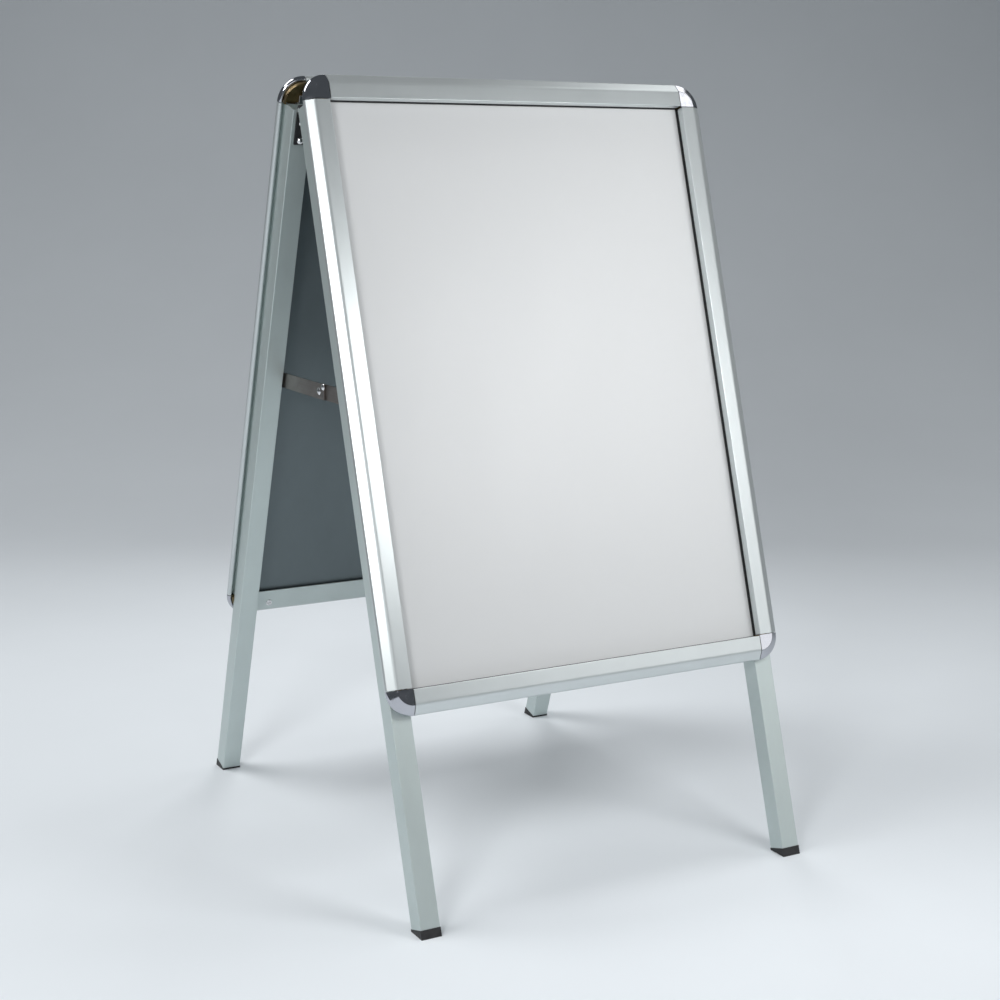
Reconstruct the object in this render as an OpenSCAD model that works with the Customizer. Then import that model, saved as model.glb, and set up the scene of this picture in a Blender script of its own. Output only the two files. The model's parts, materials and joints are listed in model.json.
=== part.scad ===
// Folding sandwich board: two snap-frame leaves on square legs, hinged at the top.
// Millimetres, +Z up, X across the board, the front leaf faces -Y, origin on the floor in the middle.

/* [Board] */
// width of one leaf over its snap covers
board_width = 550; // [420:1:900]
// height of one snap frame over its covers
frame_height = 744; // [560:1:1200]
// length of a leaf from its top edge to the floor, along the slope
leaf_length = 1000; // [900:1:1500]
// lean of each leaf from the vertical when the board stands open
lean = 17.9; // [14:0.1:20]

/* [Snap frame] */
// visible face of a snap cover, outer edge to inner lip
face = 30; // [29:0.5:34]
// where the flat of the cover turns into the outer bevel
bevel = 11.5; // [10:0.5:13]
// radius that softens that turn on a cover
bevel_round = 9; // [3:0.5:10]
// radius of the crisper turn on a corner cap
cap_round = 2.5; // [2:0.5:10]
// wall of the snap cover
cover_wall = 1.5; // [1.2:0.1:1.8]
// depth of the inner lip of the cover
lip = 9.5; // [6:0.5:12]
// side of the square corner that the chromed cap takes
corner = 31; // [30:0.5:34]
// seam between a cover and a corner cap
seam = 0.9; // [0.3:0.1:1.2]

/* [Legs] */
// side of the square leg tube
leg = 25; // [22:1:30]
// wall of the leg tube
leg_wall = 1.5; // [1.2:0.1:2]
// how far the leg tube sits in from the outer edge of the cover
leg_inset = 7; // [6.5:0.5:8]
// where the leg metal stops, from the top edge along the slope
leg_cut = 983.5; // [880:0.5:1480]

/* [Sheets] */
// poster width
poster_width = 500; // [370:1:850]
// poster height
poster_height = 700; // [516:1:1156]
// back sheet thickness
back_thick = 1; // [0.8:0.1:1]
// poster thickness
poster_thick = 0.3; // [0.2:0.1:0.3]
// clear cover sheet thickness
clear_thick = 0.8; // [0.5:0.1:0.8]

/* [Stays] */
// height of the stays above the floor
stay_height = 577.5; // [400:0.5:650]
// width of a stay strap
stay_wide = 19; // [16:1:22]
// thickness of a stay strap
stay_thick = 2; // [1.6:0.1:2.2]

/* [Hinge] */
// width of a hinge plate
plate_wide = 16; // [14:1:20]
// length of a hinge plate down the leg
plate_long = 43; // [36:1:60]

/* [Hidden] */
$fn = 64;
// running fit of a pin, gap between parts that lie together, gap between parts that pass
fine = 0.05;
rest_gap = 0.1;
pass_gap = 0.3;
half_w = board_width / 2;
nose = [4, 9.4];
nose_r = 4;
bead_r = 1.6;
ring_in = bead_r + pass_gap;
bev_vec = [nose[0] - bevel, nose[1]];
bev_ang = atan2(bev_vec[1], bev_vec[0]) + asin(nose_r / norm(bev_vec));
bev_turn = (180 - bev_ang) / 2;
hook_end = 86;
lip_round = 0.5;
press_e = 25.6;
press_wall = 1.2;
tube_y = 17.5;
inner_y = tube_y + leg;
wall_e = 9.5;
floor_y = 20.5;
rail_in = 37.5;
rail_start = half_w - leg_inset - leg - 2 * rest_gap;
knuckle_r = 6;
hinge_y = inner_y + knuckle_r + 2 * pass_gap;
hinge_v = corner - 2;
hinge_z = (leaf_length - hinge_v) * cos(lean) - hinge_y * sin(lean);
key_r = corner - 5;
key_wall = 1.5;
key_y = 11;
key_plate = 1.5;
tab_e = [12, 22];
tab_long = 32;
side_screw = [17, corner + 15];
rear_screw = [57, 19];
screw_r = 1.6;
back_y = tube_y - rest_gap - back_thick;
poster_y = back_y - rest_gap - poster_thick;
clear_y = poster_y - rest_gap - clear_thick;
press_y = clear_y - 0.5;
seal_e = [press_e + press_wall + pass_gap, face + 0.5];
seal_thick = 0.7;
plate_x = half_w - leg_inset - leg / 2;
plate_thick = 2;
pin_r = 2.5;
knuckle_gap = 0.4;
knuckle = (plate_wide - 2 * knuckle_gap) / 3;
rivet_v = [hinge_v + 17, hinge_v + 38.5];
rivet_r = 2;
// depth of each stay's pivot in its leg, off the middle so that the elbow is too
pivot_in = 4.5;
front_deep = inner_y - pivot_in;
back_deep = back_y + back_thick + stay_wide / 2 + 2 * pass_gap;
// distance down the leaf of a pivot that lies at stay height when open
function stay_v(deep) = hinge_v + (hinge_z - stay_height + (hinge_y - deep) * sin(lean)) / cos(lean);
// distance of that pivot from the middle plane of the open board
function stay_y(deep) = (hinge_y - deep) * cos(lean) + (stay_v(deep) - hinge_v) * sin(lean);
front_reach = stay_y(front_deep);
back_reach = stay_y(back_deep);
elbow_y = 5.5;
elbow_tip = 9.5;
elbow_spots = [[elbow_y, 0], [-elbow_tip + 2.9, 6.4]];
elbow_heads = [4.8, 4.2];
leg_in = half_w - leg_inset - leg;
back_arm_x = leg_in - 2.4;
front_arm_x = back_arm_x - stay_thick - pass_gap;
pivot_r = 3;
elbow_r = 2;
silver = "#c9cdce";
satin = "#b4bbba";
chrome = "#8a8d92";
zinc = "#8f7f52";
steel = "#5c5754";
sheet = "#6f787c";
ink = "#e8eaec";
clear = "#d8dee0";
rubber = "#151515";
black = "#1e1e1f";

// ---- placing -------------------------------------------------------------
// A leaf is drawn upright: outer face at y = 0, inward is +Y, top edge at z = 0.
module front() {
  translate([0, 0, hinge_z])
    rotate([-lean, 0, 0])
      translate([0, -hinge_y, hinge_v])
        children();
}

module back() {
  mirror([0, 1, 0])
    front()
      children();
}

module leaf(side) {
  if (side == "front")
    front() children();
  else
    back() children();
}

module hand(right) {
  if (right)
    mirror([1, 0, 0]) children();
  else
    children();
}

// carries something drawn at the top of the frame to the bottom
module low(bottom) {
  if (bottom)
    translate([0, 0, -frame_height]) mirror([0, 0, 1]) children();
  else
    children();
}

// upright bar: section x = distance in from the outer edge, y = depth
module upright(from, to) {
  translate([-half_w, 0, -to])
    linear_extrude(to - from)
      children();
}

// level bar along the top edge
module level(half) {
  translate([-half, 0, 0])
    rotate([0, 90, 0])
      linear_extrude(2 * half)
        children();
}

// quarter turn about the middle of the top left corner
module quarter() {
  translate([-half_w + corner, 0, -corner])
    rotate([-90, 0, 0])
      rotate([0, 0, 180])
        rotate_extrude(angle = 90)
          children();
}

// round bar along X
module along_x(x, y, z, long, r) {
  translate([x, y, z])
    rotate([0, 90, 0])
      cylinder(h = long, r = r);
}

// ---- snap cover ----------------------------------------------------------
module box2(x0, y0, x1, y1) {
  translate([x0, y0])
    square([x1 - x0, y1 - y0]);
}

// points along an arc, from angle a0 to a1 in n steps
function arc_pts(at, r, a0, a1, n) = [
  for (i = [0:n])
    let (a = a0 + (a1 - a0) * i / n)
      at + r * [cos(a), sin(a)]
];

// middle of the turn from bevel to flat, for a turn of radius r
function turn_at(r) = [bevel + r * tan(bev_turn), r];

// outside of a cover or cap: round the nose, up the bevel and over its turn into the flat
function shell_outside(r) = concat(
  arc_pts(nose, nose_r, hook_end, bev_ang + 90, 22),
  arc_pts(turn_at(r), r, bev_ang + 90, 270, 8));

// the way back along the inside, round a hollow of the given radius in the nose
function shell_inside(r, hollow) = concat(
  arc_pts(turn_at(r), r - cover_wall, 270, bev_ang + 90, 8),
  arc_pts(nose, hollow, bev_ang + 90, hook_end, 22));

module cover_section() {
  polygon(concat(
    shell_outside(bevel_round),
    arc_pts([face - lip_round, lip_round], lip_round, 270, 360, 5),
    [[face, lip], [face - cover_wall, lip], [face - cover_wall, cover_wall]],
    [[press_e + press_wall, cover_wall], [press_e + press_wall, press_y]],
    [[press_e, press_y], [press_e, cover_wall]],
    shell_inside(bevel_round, ring_in)));
}

module cap_section() {
  translate([corner, 0])
    mirror([1, 0, 0])
      polygon(concat(
        shell_outside(cap_round),
        [[corner, 0], [corner, cover_wall]],
        shell_inside(cap_round, nose_r - cover_wall)));
}

module cover_side(right) {
  color(silver)
    hand(right)
      upright(corner + seam, frame_height - corner - seam)
        cover_section();
}

module cover_level(bottom) {
  color(silver)
    low(bottom)
      level(half_w - corner - seam)
        cover_section();
}

module cap(right, bottom) {
  boss = 21;
  boss_r = 3;
  color(chrome)
    low(bottom)
      hand(right) {
        quarter()
          cap_section();
        translate([-half_w + boss, cover_wall - fine, -boss])
          rotate([-90, 0, 0])
            cylinder(h = key_y - cover_wall + fine, r = boss_r);
      }
}

// ---- leg and rail bases --------------------------------------------------
module bead_and_wall(deep) {
  top = [wall_e + 0.6, nose[1] - 3.2];
  dir = (nose - top) / norm(nose - top);
  across = 0.5 * [-dir[1], dir[0]];
  box2(wall_e, top[1], wall_e + cover_wall, deep);
  polygon([
    top - across - [0, 0.2],
    nose - across,
    nose + across,
    top + across + [0, 0.6],
  ]);
  translate(nose)
    circle(bead_r);
}

module rounded2(x0, y0, x1, y1, r) {
  box2(x0 + r, y0, x1 - r, y1);
  box2(x0, y0 + r, x1, y1 - r);
  for (x = [x0 + r, x1 - r], y = [y0 + r, y1 - r])
    translate([x, y])
      circle(r);
}

module tube_section() {
  difference() {
    rounded2(leg_inset, tube_y, leg_inset + leg, inner_y, 1);
    box2(leg_inset + leg_wall, tube_y + leg_wall, leg_inset + leg - leg_wall, inner_y - leg_wall);
  }
}

module channel_section() {
  bead_and_wall(tube_y + leg_wall / 2);
}

module rail_section() {
  ledge = 24;
  bead_and_wall(floor_y + cover_wall);
  box2(wall_e, floor_y, rail_in, floor_y + cover_wall);
  box2(ledge, back_y + back_thick + rest_gap, ledge + cover_wall, floor_y + fine);
}

// a bore through a wall of the leaf, drawn along the depth
module bore(e, v, y0, y1, r) {
  translate([-half_w + e, y0, -v])
    rotate([-90, 0, 0])
      cylinder(h = y1 - y0, r = r);
}

module leg_post(right, deep) {
  mid = leg_inset + leg / 2;
  color(satin)
    hand(right)
      difference() {
        union() {
          upright(corner, leg_cut)
            tube_section();
          upright(corner, frame_height - corner)
            channel_section();
        }
        for (v = [side_screw[1], frame_height - side_screw[1]])
          bore(side_screw[0], v, tube_y - 1, tube_y + leg_wall + 1, screw_r + fine);
        for (v = rivet_v)
          bore(mid, v, inner_y - leg_wall - 1, inner_y + 1, rivet_r + fine);
        along_x(-leg_in - leg_wall - 1, deep, -stay_v(deep), leg_wall + 2, pivot_r + fine);
      }
}

module rail(bottom) {
  color(satin)
    low(bottom)
      difference() {
        level(rail_start)
          rail_section();
        for (right = [false, true])
          hand(right)
            bore(rear_screw[0], rear_screw[1], floor_y - 1, floor_y + cover_wall + 1, screw_r + fine);
      }
}

// ---- corner keys, screws and springs ------------------------------------
module key(bottom) {
  rim = 3;
  deep = bottom ? tube_y - pass_gap : tube_y + rim + 0.5;
  difference() {
    union() {
      quarter() {
        box2(0, key_y, key_r, key_y + key_plate);
        box2(key_r - key_wall, key_y - rim, key_r, deep);
      }
      translate([-half_w + tab_e[0], key_y, -corner - tab_long])
        cube([tab_e[1] - tab_e[0], key_plate, tab_long + 1]);
      translate([-half_w + corner - 1, key_y, -tab_e[1]])
        cube([tab_long + 1, key_plate, tab_e[1] - tab_e[0]]);
    }
    bore(side_screw[0], side_screw[1], key_y - 1, key_y + key_plate + 1, screw_r + fine);
    bore(rear_screw[0], rear_screw[1], key_y - 1, key_y + key_plate + 1, screw_r + fine);
  }
}

module corners() {
  for (bottom = [false, true], right = [false, true])
    low(bottom)
      hand(right)
        children();
}

module corner_keys() {
  color(zinc)
    for (bottom = [false, true], right = [false, true])
      low(bottom)
        hand(right)
          key(bottom);
}

// cross-recess screw, head on y = 0 and shank towards +Y
module screw(long, head_r) {
  head = 1.6;
  slot = [2 * head_r - 2, 1, 1];
  rotate([-90, 0, 0])
    difference() {
      union() {
        translate([0, 0, -head])
          cylinder(h = head, r = head_r);
        translate([0, 0, -fine])
          cylinder(h = long + fine, r = screw_r);
      }
      for (a = [0, 90])
        rotate([0, 0, a])
          translate([-slot[0] / 2, -slot[1] / 2, -head - fine])
            cube(slot);
    }
}

module key_screws() {
  color(steel)
    corners() {
      translate([-half_w + side_screw[0], key_y, -side_screw[1]])
        screw(tube_y + leg_wall - key_y, 3.2);
      translate([-half_w + rear_screw[0], floor_y + cover_wall, -rear_screw[1]])
        mirror([0, 1, 0])
          screw(floor_y + cover_wall - key_y + 1, 4.2);
    }
}

module spring_section(down) {
  translate([0, down])
    polygon([
      [12, 17.4], [20.6, 17.4], [21.2, 16.8], [13.6, 5.6],
      [12.8, 5.9], [19.6, 16.4], [19.2, 16.6], [12, 16.6],
    ]);
}

module springs() {
  long = 30;
  spot_v = frame_height / 4;
  spot_x = board_width / 5;
  color(steel) {
    for (right = [false, true], v = [spot_v, frame_height - spot_v])
      hand(right)
        upright(v - long / 2, v + long / 2)
          spring_section(0);
    for (bottom = [false, true], x = [-spot_x, spot_x])
      low(bottom)
        translate([x, 0, 0])
          level(long / 2)
            spring_section(floor_y - tube_y);
  }
}

// ---- sheets --------------------------------------------------------------
module panel(y, thick) {
  translate([-poster_width / 2, y, -(frame_height + poster_height) / 2])
    cube([poster_width, thick, poster_height]);
}

module back_sheet() {
  color(sheet)
    panel(back_y, back_thick);
}

module poster() {
  color(ink)
    panel(poster_y, poster_thick);
}

module clear_sheet() {
  color(clear, 0.4)
    panel(clear_y, clear_thick);
}

// thin black strip round the opening, between the lips of the covers and the clear sheet
module seal() {
  color(black)
    difference() {
      seal_slab(seal_e[0], 0);
      seal_slab(seal_e[1], 1);
    }
}

// slab from edge to edge, set in by e, with extra depth on both faces
module seal_slab(e, extra) {
  translate([-half_w + e, clear_y - rest_gap - seal_thick - extra, -frame_height + e])
    cube([board_width - 2 * e, seal_thick + 2 * extra, frame_height - 2 * e]);
}

// ---- feet ----------------------------------------------------------------
module foot_block() {
  grow = 0.3;
  slack = 0.05;
  upright(leg_cut, leaf_length + 20)
    box2(leg_inset - grow, tube_y - grow, leg_inset + leg + grow, inner_y + grow);
  upright(leg_cut - 14, leg_cut + 1)
    box2(leg_inset + leg_wall + slack, tube_y + leg_wall + slack,
         leg_inset + leg - leg_wall - slack, inner_y - leg_wall - slack);
}

module foot(side, right) {
  color(rubber)
    intersection() {
      leaf(side)
        hand(right)
          foot_block();
      translate([-board_width, -board_width, 0])
        cube([2 * board_width, 2 * board_width, 60]);
    }
}

// ---- top hinges ----------------------------------------------------------
// outer = true carries the two outer knuckles, false the middle one
module hinge_plate(outer) {
  x0 = -plate_x - plate_wide / 2;
  step = knuckle + knuckle_gap;
  spots = outer ? [x0, x0 + 2 * step] : [x0 + step];
  top = -hinge_v - 4.6;
  bottom = -hinge_v - plate_long;
  web = 2.4;
  color(black)
    difference() {
      union() {
        translate([x0, inner_y, bottom])
          cube([plate_wide, plate_thick, top - bottom]);
        for (x = spots) {
          along_x(x, hinge_y, -hinge_v, knuckle, knuckle_r);
          translate([x, inner_y + pass_gap, top - 1])
            cube([knuckle, web, 1 - fine - top - hinge_v]);
        }
      }
      along_x(x0 - 1, hinge_y, -hinge_v, plate_wide + 2, pin_r + fine);
      for (v = rivet_v)
        bore(half_w - plate_x, v, inner_y - 1, inner_y + plate_thick + 1, rivet_r + fine);
    }
}

module hinge_rivets() {
  color(steel)
    for (right = [false, true], v = rivet_v)
      hand(right)
        translate([-plate_x, inner_y + plate_thick, -v])
          rotate([-90, 0, 0]) {
            translate([0, 0, -plate_thick - leg_wall])
              cylinder(h = plate_thick + leg_wall + fine, r = rivet_r);
            mirror([0, 0, 1])
              dome(4, 2);
          }
}

module hinge_pins() {
  color(steel)
    for (right = [false, true])
      hand(right)
        along_x(-plate_x - plate_wide / 2 - 1, 0, hinge_z, plate_wide + 2, pin_r);
}

// ---- stays ---------------------------------------------------------------
// strap along +Y: pivot on its leg at y = far, elbow at y = elbow_y
module strap(x, far, tip) {
  difference() {
    union() {
      translate([-x, tip, -stay_wide / 2])
        cube([stay_thick, far - tip, stay_wide]);
      along_x(-x, far, 0, stay_thick, stay_wide / 2);
      children();
    }
    along_x(-x - 1, far, 0, stay_thick + 2, pivot_r + fine);
  }
}

module front_strap() {
  mirror([0, 1, 0])
    difference() {
      strap(front_arm_x, front_reach, -elbow_y)
        along_x(-front_arm_x, -elbow_y, 0, stay_thick, stay_wide / 2);
      along_x(-front_arm_x - 1, -elbow_y, 0, stay_thick + 2, elbow_r + fine);
    }
}

module back_strap() {
  difference() {
    strap(back_arm_x, back_reach, -elbow_tip);
    for (at = elbow_spots)
      along_x(-back_arm_x - 1, at[0], at[1], stay_thick + 2, elbow_r + fine);
  }
}

module stay(right, rear) {
  color(steel)
    hand(right)
      translate([0, 0, stay_height])
        if (rear)
          back_strap();
        else
          front_strap();
}

// shouldered rivets that carry the stays on the inner sides of the legs
module stay_pivots(arm_x, deep) {
  inside = -arm_x + stay_thick;
  v = stay_v(deep);
  collar_r = 5;
  head = [1.8, 5.5];
  color(steel)
    for (right = [false, true])
      hand(right) {
        along_x(-leg_in - leg_wall, deep, -v, inside + leg_in + leg_wall + 0.2, pivot_r);
        along_x(-leg_in, deep, -v, leg_in - arm_x - rest_gap, collar_r);
        along_x(inside + rest_gap, deep, -v, head[0], head[1]);
      }
}

// elbow rivet and lock stud, their domed heads on the outer side of the back strap
module elbow_rivets(right) {
  high = 2;
  color(silver)
    hand(right)
      for (i = [0, 1])
        translate([-back_arm_x, elbow_spots[i][0], stay_height + elbow_spots[i][1]])
          rotate([0, 90, 0]) {
            translate([0, 0, -fine])
              cylinder(h = stay_thick + fine, r = elbow_r);
            dome(elbow_heads[i], high);
          }
}

// domed head on the plane z = 0, its crown towards -Z
module dome(r, high) {
  ball = (r * r + high * high) / (2 * high);
  intersection() {
    translate([0, 0, ball - high])
      sphere(ball);
    translate([0, 0, -high])
      cylinder(h = high, r = r);
  }
}

// the other half of the elbow rivet, in the front strap
module elbow_tail(right) {
  head = [1.4, 4];
  color(silver)
    hand(right) {
      along_x(-front_arm_x, elbow_y, stay_height, stay_thick + head[0], elbow_r);
      along_x(-front_arm_x + stay_thick, elbow_y, stay_height, head[0], head[1]);
    }
}

// ---- parts ---------------------------------------------------------------
front() leg_post(false, front_deep);  // front_leg_left
front() leg_post(true, front_deep);  // front_leg_right
front() rail(false);  // front_rail_top
front() rail(true);  // front_rail_bottom
front() cover_level(false);  // front_cover_top
front() cover_level(true);  // front_cover_bottom
front() cover_side(false);  // front_cover_left
front() cover_side(true);  // front_cover_right
front() cap(false, false);  // front_cap_top_left
front() cap(true, false);  // front_cap_top_right
front() cap(false, true);  // front_cap_bottom_left
front() cap(true, true);  // front_cap_bottom_right
front() corner_keys();  // front_corner_keys
front() key_screws();  // front_key_screws
front() springs();  // front_springs
front() back_sheet();  // front_back_sheet
front() poster();  // front_poster
front() clear_sheet();  // front_clear_sheet
front() seal();  // front_seal
foot("front", false);  // front_foot_left
foot("front", true);  // front_foot_right
front() hand(false) hinge_plate(true);  // front_hinge_plate_left
front() hand(true) hinge_plate(true);  // front_hinge_plate_right
front() hinge_rivets();  // front_hinge_rivets
front() stay_pivots(front_arm_x, front_deep);  // front_stay_pivots
back() leg_post(false, back_deep);  // back_leg_left
back() leg_post(true, back_deep);  // back_leg_right
back() rail(false);  // back_rail_top
back() rail(true);  // back_rail_bottom
back() cover_level(false);  // back_cover_top
back() cover_level(true);  // back_cover_bottom
back() cover_side(false);  // back_cover_left
back() cover_side(true);  // back_cover_right
back() cap(false, false);  // back_cap_top_left
back() cap(true, false);  // back_cap_top_right
back() cap(false, true);  // back_cap_bottom_left
back() cap(true, true);  // back_cap_bottom_right
back() corner_keys();  // back_corner_keys
back() key_screws();  // back_key_screws
back() springs();  // back_springs
back() back_sheet();  // back_back_sheet
back() poster();  // back_poster
back() clear_sheet();  // back_clear_sheet
back() seal();  // back_seal
foot("back", false);  // back_foot_left
foot("back", true);  // back_foot_right
back() hand(false) hinge_plate(false);  // back_hinge_plate_left
back() hand(true) hinge_plate(false);  // back_hinge_plate_right
back() hinge_rivets();  // back_hinge_rivets
back() stay_pivots(back_arm_x, back_deep);  // back_stay_pivots
hinge_pins();
stay(false, false);  // front_stay_left
stay(true, false);  // front_stay_right
stay(false, true);  // back_stay_left
stay(true, true);  // back_stay_right
elbow_rivets(false);  // elbow_rivets_left
elbow_rivets(true);  // elbow_rivets_right
elbow_tail(false);  // elbow_tail_left
elbow_tail(true);  // elbow_tail_right
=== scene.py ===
"""Looks for the folding sandwich board: materials, a studio stage, lights and the camera."""
import json
import math

import bpy
from mathutils import Matrix, Vector

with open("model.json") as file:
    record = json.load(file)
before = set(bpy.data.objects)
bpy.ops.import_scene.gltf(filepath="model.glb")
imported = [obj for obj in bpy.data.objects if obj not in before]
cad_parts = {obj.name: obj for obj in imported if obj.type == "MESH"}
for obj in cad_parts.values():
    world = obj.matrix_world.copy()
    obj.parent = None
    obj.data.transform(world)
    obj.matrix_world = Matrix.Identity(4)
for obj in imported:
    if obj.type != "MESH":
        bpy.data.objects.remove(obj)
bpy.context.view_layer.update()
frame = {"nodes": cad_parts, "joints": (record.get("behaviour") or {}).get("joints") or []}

NODES = frame["nodes"]
FOLD = next(j for j in frame["joints"] if j["name"] == "fold")
LEAN = math.radians(FOLD["range_deg"][1]) / 2

# Most of a noise's values lie between these two.
NOISE_LOW, NOISE_HIGH = 0.3, 0.7


# ---- shader helpers -------------------------------------------------------
class Shader:
    """A node material with one Principled shader and a few short-hands."""

    def __init__(self, name, colour, rough, metal=0.0):
        self.mat = bpy.data.materials.new(name)
        self.mat.use_nodes = True
        self.tree = self.mat.node_tree
        self.bsdf = self.tree.nodes["Principled BSDF"]
        self.set("Base Color", (*colour, 1.0))
        self.set("Roughness", rough)
        self.set("Metallic", metal)

    def set(self, socket, value):
        self.bsdf.inputs[socket].default_value = value

    def link(self, out, socket):
        self.tree.links.new(out, self.bsdf.inputs[socket])

    def node(self, kind, **values):
        """A node of that kind, with its input sockets set by name."""
        made = self.tree.nodes.new(kind)
        for key, value in values.items():
            made.inputs[key].default_value = value
        return made

    def place(self, grain, tilt):
        """Position in the part, turned so that Z runs up a leaf, in units of grain."""
        coord = self.tree.nodes.new("ShaderNodeTexCoord")
        turn = self.node("ShaderNodeMapping", Rotation=(tilt, 0.0, 0.0), Scale=grain)
        turn.vector_type = "TEXTURE"
        self.tree.links.new(coord.outputs["Object"], turn.inputs["Vector"])
        return turn.outputs["Vector"]

    def noise(self, grain, tilt=0.0, detail=3.0):
        made = self.node("ShaderNodeTexNoise", Scale=1.0, Detail=detail, Roughness=0.55)
        self.tree.links.new(self.place(grain, tilt), made.inputs["Vector"])
        return made.outputs["Fac"]

    def span(self, fac, low, high):
        """Stretches the middle of a noise to run from low to high."""
        made = self.node("ShaderNodeMapRange")
        made.inputs["From Min"].default_value = NOISE_LOW
        made.inputs["From Max"].default_value = NOISE_HIGH
        made.inputs["To Min"].default_value = low
        made.inputs["To Max"].default_value = high
        self.tree.links.new(fac, made.inputs["Value"])
        return made.outputs["Result"]

    def tint(self, fac, dark, light):
        """Base colour that wanders between two colours with the noise."""
        ramp = self.tree.nodes.new("ShaderNodeValToRGB")
        stops = zip(ramp.color_ramp.elements, (NOISE_LOW, NOISE_HIGH), (dark, light))
        for stop, position, colour in stops:
            stop.position = position
            stop.color = (*colour, 1.0)
        self.tree.links.new(fac, ramp.inputs["Fac"])
        self.link(ramp.outputs["Color"], "Base Color")

    def bump(self, fac, strength, depth):
        made = self.node("ShaderNodeBump", Strength=strength, Distance=depth)
        self.tree.links.new(fac, made.inputs["Height"])
        self.link(made.outputs["Normal"], "Normal")


def even(size):
    """The grain of a noise that is the same size in all directions."""
    return size, size, size


def around(colour, spread):
    """A darker and a lighter neighbour of a colour."""
    return tuple(c * (1 - spread) for c in colour), tuple(min(1.0, c * (1 + spread)) for c in colour)


# ---- materials ------------------------------------------------------------
def extruded(name, colour, rough, along, tilt=0.0):
    """Satin anodised extrusion: fine draw lines along its length, faint blotches."""
    line_width, line_length = 0.0005, 0.16
    grain = [line_length if axis == along else line_width for axis in "XYZ"]
    s = Shader(name, colour, rough, metal=0.7)
    lines = s.noise(grain, tilt, detail=4.0)
    cloud = s.noise((0.05, 0.05, 0.09), tilt, detail=5.0)
    s.tint(cloud, *around(colour, 0.025))
    s.link(s.span(lines, rough - 0.03, rough + 0.04), "Roughness")
    s.bump(lines, 0.05, 0.00004)
    return s.mat


def chrome():
    s = Shader("chrome_plate", (0.50, 0.51, 0.55), 0.09, metal=1.0)
    haze = s.noise(even(0.006), detail=4.0)
    s.link(s.span(haze, 0.06, 0.15), "Roughness")
    s.bump(s.noise(even(0.011), detail=2.0), 0.05, 0.0004)
    return s.mat


def yellow_zinc():
    s = Shader("yellow_zinc", (0.30, 0.21, 0.09), 0.30, metal=1.0)
    cloud = s.noise(even(0.008), detail=5.0)
    s.tint(cloud, (0.22, 0.15, 0.06), (0.38, 0.29, 0.15))
    s.link(s.span(cloud, 0.24, 0.40), "Roughness")
    return s.mat


def plated(name, colour, rough):
    """Bright plated fastener steel."""
    s = Shader(name, colour, rough, metal=1.0)
    cloud = s.noise(even(0.002), detail=4.0)
    s.tint(cloud, *around(colour, 0.08))
    s.link(s.span(cloud, rough - 0.06, rough + 0.08), "Roughness")
    return s.mat


def strap_steel():
    colour = (0.27, 0.245, 0.23)
    s = Shader("stay_steel", colour, 0.36, metal=1.0)
    lines = s.noise((0.0006, 0.09, 0.0006), detail=4.0)
    s.tint(s.noise((0.02, 0.03, 0.02), detail=5.0), *around(colour, 0.14))
    s.link(s.span(lines, 0.30, 0.46), "Roughness")
    s.bump(lines, 0.15, 0.00008)
    return s.mat


def galvanised(tilt):
    colour = (0.15, 0.18, 0.19)
    s = Shader("back_sheet", colour, 0.42, metal=0.75)
    cloud = s.noise((0.03, 0.03, 0.05), tilt, detail=6.0)
    s.tint(cloud, *around(colour, 0.05))
    s.link(s.span(cloud, 0.38, 0.48), "Roughness")
    s.bump(s.noise(even(0.002), tilt), 0.05, 0.0001)
    return s.mat


def blank_paper():
    colour = (0.84, 0.85, 0.86)
    s = Shader("blank_poster", colour, 0.6)
    s.tint(s.noise(even(0.002), detail=5.0), *around(colour, 0.012))
    return s.mat


def clear_cover(tilt):
    """Thin anti-glare sheet: the poster shows through its soft sheen."""
    colour = (0.74, 0.75, 0.755)
    s = Shader("clear_cover", colour, 0.42)
    s.set("Alpha", 0.6)
    s.set("IOR", 1.6)
    cloud = s.noise((0.10, 0.10, 0.16), tilt, detail=5.0)
    s.link(s.span(cloud, 0.40, 0.45), "Roughness")
    s.bump(s.noise(even(0.0009), tilt, detail=2.0), 0.04, 0.00008)
    return s.mat


def rubber():
    colour = (0.018, 0.018, 0.019)
    s = Shader("foot_rubber", colour, 0.5)
    cloud = s.noise(even(0.004), detail=5.0)
    s.tint(cloud, *around(colour, 0.4))
    s.link(s.span(cloud, 0.42, 0.62), "Roughness")
    s.bump(cloud, 0.2, 0.0003)
    return s.mat


# Black coat of the hinge plates. The same black on the seal strips is painted shade: the dark lines
# in the gaps beside the cover lips.
def black_coat():
    colour = (0.03, 0.03, 0.032)
    s = Shader("hinge_black", colour, 0.38, metal=0.3)
    cloud = s.noise(even(0.0012), detail=4.0)
    s.tint(cloud, *around(colour, 0.25))
    s.bump(cloud, 0.15, 0.0001)
    return s.mat


SATIN = (0.60, 0.64, 0.645)
LEG = (0.58, 0.65, 0.64)
TILT = {"front": -LEAN, "back": LEAN}


def leaf_materials(side):
    tilt = TILT[side]
    upright = extruded(f"cover_upright_{side}", SATIN, 0.33, "Z", tilt)
    level = extruded(f"cover_level_{side}", SATIN, 0.33, "X")
    post = extruded(f"leg_{side}", LEG, 0.42, "Z", tilt)
    rail = extruded(f"rail_{side}", LEG, 0.42, "X")
    return {
        "cover_left": upright, "cover_right": upright,
        "cover_top": level, "cover_bottom": level,
        "leg_left": post, "leg_right": post,
        "rail_top": rail, "rail_bottom": rail,
        "back_sheet": galvanised(tilt),
        "clear_sheet": clear_cover(tilt),
    }


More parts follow.
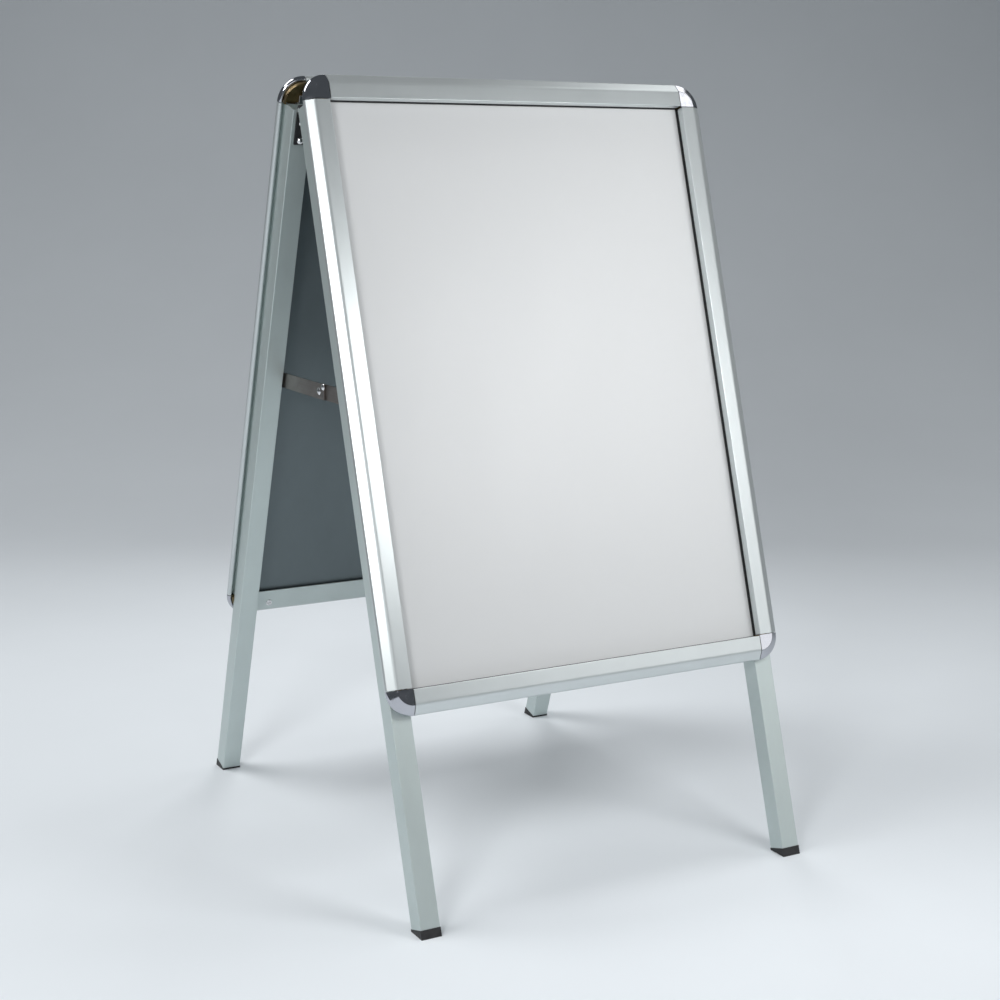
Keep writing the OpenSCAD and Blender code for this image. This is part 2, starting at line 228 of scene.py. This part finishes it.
CHROME, ZINC, STRAP, RUBBER, BLACK = chrome(), yellow_zinc(), strap_steel(), rubber(), black_coat()
RIVET = plated("bright_rivet", (0.78, 0.78, 0.79), 0.20)
SCREW = plated("zinc_screw", (0.80, 0.80, 0.81), 0.26)
SPRING = plated("spring_steel", (0.42, 0.43, 0.45), 0.34)
PAPER = blank_paper()
LEAVES = {side: leaf_materials(side) for side in TILT}
BY_WORD = {
    "_cap_": CHROME, "corner_keys": ZINC, "key_screws": SCREW, "springs": SPRING,
    "poster": PAPER, "_foot_": RUBBER, "hinge_plate": BLACK, "hinge_rivets": RIVET,
    # The _seal parts are black strips in the gaps beside the cover lips, where there is only shade:
    # painted shade.
    "elbow": RIVET, "_seal": BLACK, "hinge_pins": SCREW, "stay_pivots": SCREW, "_stay_": STRAP,
}


def material_for(name):
    side, _, rest = name.partition("_")
    if side in LEAVES and rest in LEAVES[side]:
        return LEAVES[side][rest]
    return next(mat for word, mat in BY_WORD.items() if word in name)


for name, obj in NODES.items():
    obj.data.materials.clear()
    obj.data.materials.append(material_for(name))


# ---- camera ---------------------------------------------------------------
CAMERA_PLACE = (-1.0965, -1.9664, 0.8724)
VIEW_TURN = math.radians(29.4)
LOOK_DOWN = math.radians(12.93)
ROLL = math.radians(0.6)


def add_camera():
    data = bpy.data.cameras.new("camera")
    data.sensor_width = 36.0
    data.lens = 63.6
    data.shift_y = 0.05
    data.clip_start = 0.05
    data.clip_end = 60.0
    cam = bpy.data.objects.new("camera", data)
    cam.matrix_world = (
        Matrix.Translation(CAMERA_PLACE)
        @ Matrix.Rotation(-VIEW_TURN, 4, "Z")
        @ Matrix.Rotation(math.pi / 2 - LOOK_DOWN, 4, "X")
        @ Matrix.Rotation(ROLL, 4, "Z")
    )
    bpy.context.scene.collection.objects.link(cam)
    bpy.context.scene.camera = cam


add_camera()


# ---- stage ----------------------------------------------------------------
def add_sweep(turn):
    """Pale paper sweep: a floor that curves up into a backdrop, square to the camera."""
    near, far, cove, top, half_width = -2.4, 4.6, 3.0, 4.2, 3.4
    line = [(near, 0.0), (far - cove, 0.0)]
    cove_steps = 24
    for i in range(1, cove_steps + 1):
        a = math.pi / 2 * i / cove_steps
        line.append((far - cove + cove * math.sin(a), cove - cove * math.cos(a)))
    line.append((far, top))
    verts = [(x, y, z) for y, z in line for x in (-half_width, half_width)]
    faces = [(2 * i, 2 * i + 1, 2 * i + 3, 2 * i + 2) for i in range(len(line) - 1)]
    mesh = bpy.data.meshes.new("sweep")
    mesh.from_pydata(verts, [], faces)
    mesh.shade_smooth()
    mesh.transform(Matrix.Rotation(-turn, 4, "Z"))
    obj = bpy.data.objects.new("sweep", mesh)
    bpy.context.scene.collection.objects.link(obj)
    colour = (0.78, 0.82, 0.855)
    s = Shader("sweep_paper", colour, 0.75)
    s.tint(s.noise(even(0.4)), *around(colour, 0.0125))
    mesh.materials.append(s.mat)


def add_softbox(name, place, aim, size, watts):
    """A white rectangle of light. It shows in reflections, but not as an object in the picture."""
    data = bpy.data.lights.new(name, "AREA")
    data.shape = "RECTANGLE"
    data.size, data.size_y = size
    data.energy = watts
    obj = bpy.data.objects.new(name, data)
    obj.location = place
    obj.rotation_euler = (Vector(aim) - Vector(place)).to_track_quat("-Z", "Y").to_euler()
    obj.visible_camera = False
    bpy.context.scene.collection.objects.link(obj)


def add_world(colour, strength):
    world = bpy.data.worlds.new("studio")
    world.use_nodes = True
    back = world.node_tree.nodes["Background"]
    back.inputs["Color"].default_value = (*colour, 1.0)
    back.inputs["Strength"].default_value = strength
    bpy.context.scene.world = world


add_sweep(VIEW_TURN)
add_world((0.80, 0.88, 0.94), 0.12)

# Fill for the front, key for the front poster, and two dim cards for the rails and caps to mirror.
add_softbox("base_box", (-0.65, -2.50, 1.30), (0.0, -0.15, 0.30), (0.8, 0.8), 3.5)
add_softbox("near_box", (0.38, -0.86, 0.93), (0.12, -0.13, 0.68), (0.45, 0.45), 4.9)
add_softbox("front_card", (1.78, -2.20, 0.90), (0.10, -0.12, 0.36), (1.3, 0.9), 5)
add_softbox("corner_card", (1.72, -1.71, 2.18), (0.27, -0.10, 0.93), (0.25, 0.25), 0.4)

# The bright line down the left cover and the left sides of the legs, then the back poster.
add_softbox("left_box", (-1.78, -1.74, 1.50), (-0.27, -0.15, 0.55), (0.6, 0.8), 24)
add_softbox("back_box", (0.55, 1.10, 1.05), (0.04, 0.15, 0.62), (0.6, 0.6), 5)

# The floor and the backdrop.
add_softbox("left_flood", (-1.5, 0.7, 3.0), (-1.1, 0.7, 0.0), (1.6, 1.6), 55)
add_softbox("right_flood", (2.1, 0.0, 2.5), (0.8, 0.2, 0.0), (1.6, 1.6), 15.5)

bpy.context.scene.view_settings.view_transform = "Standard"
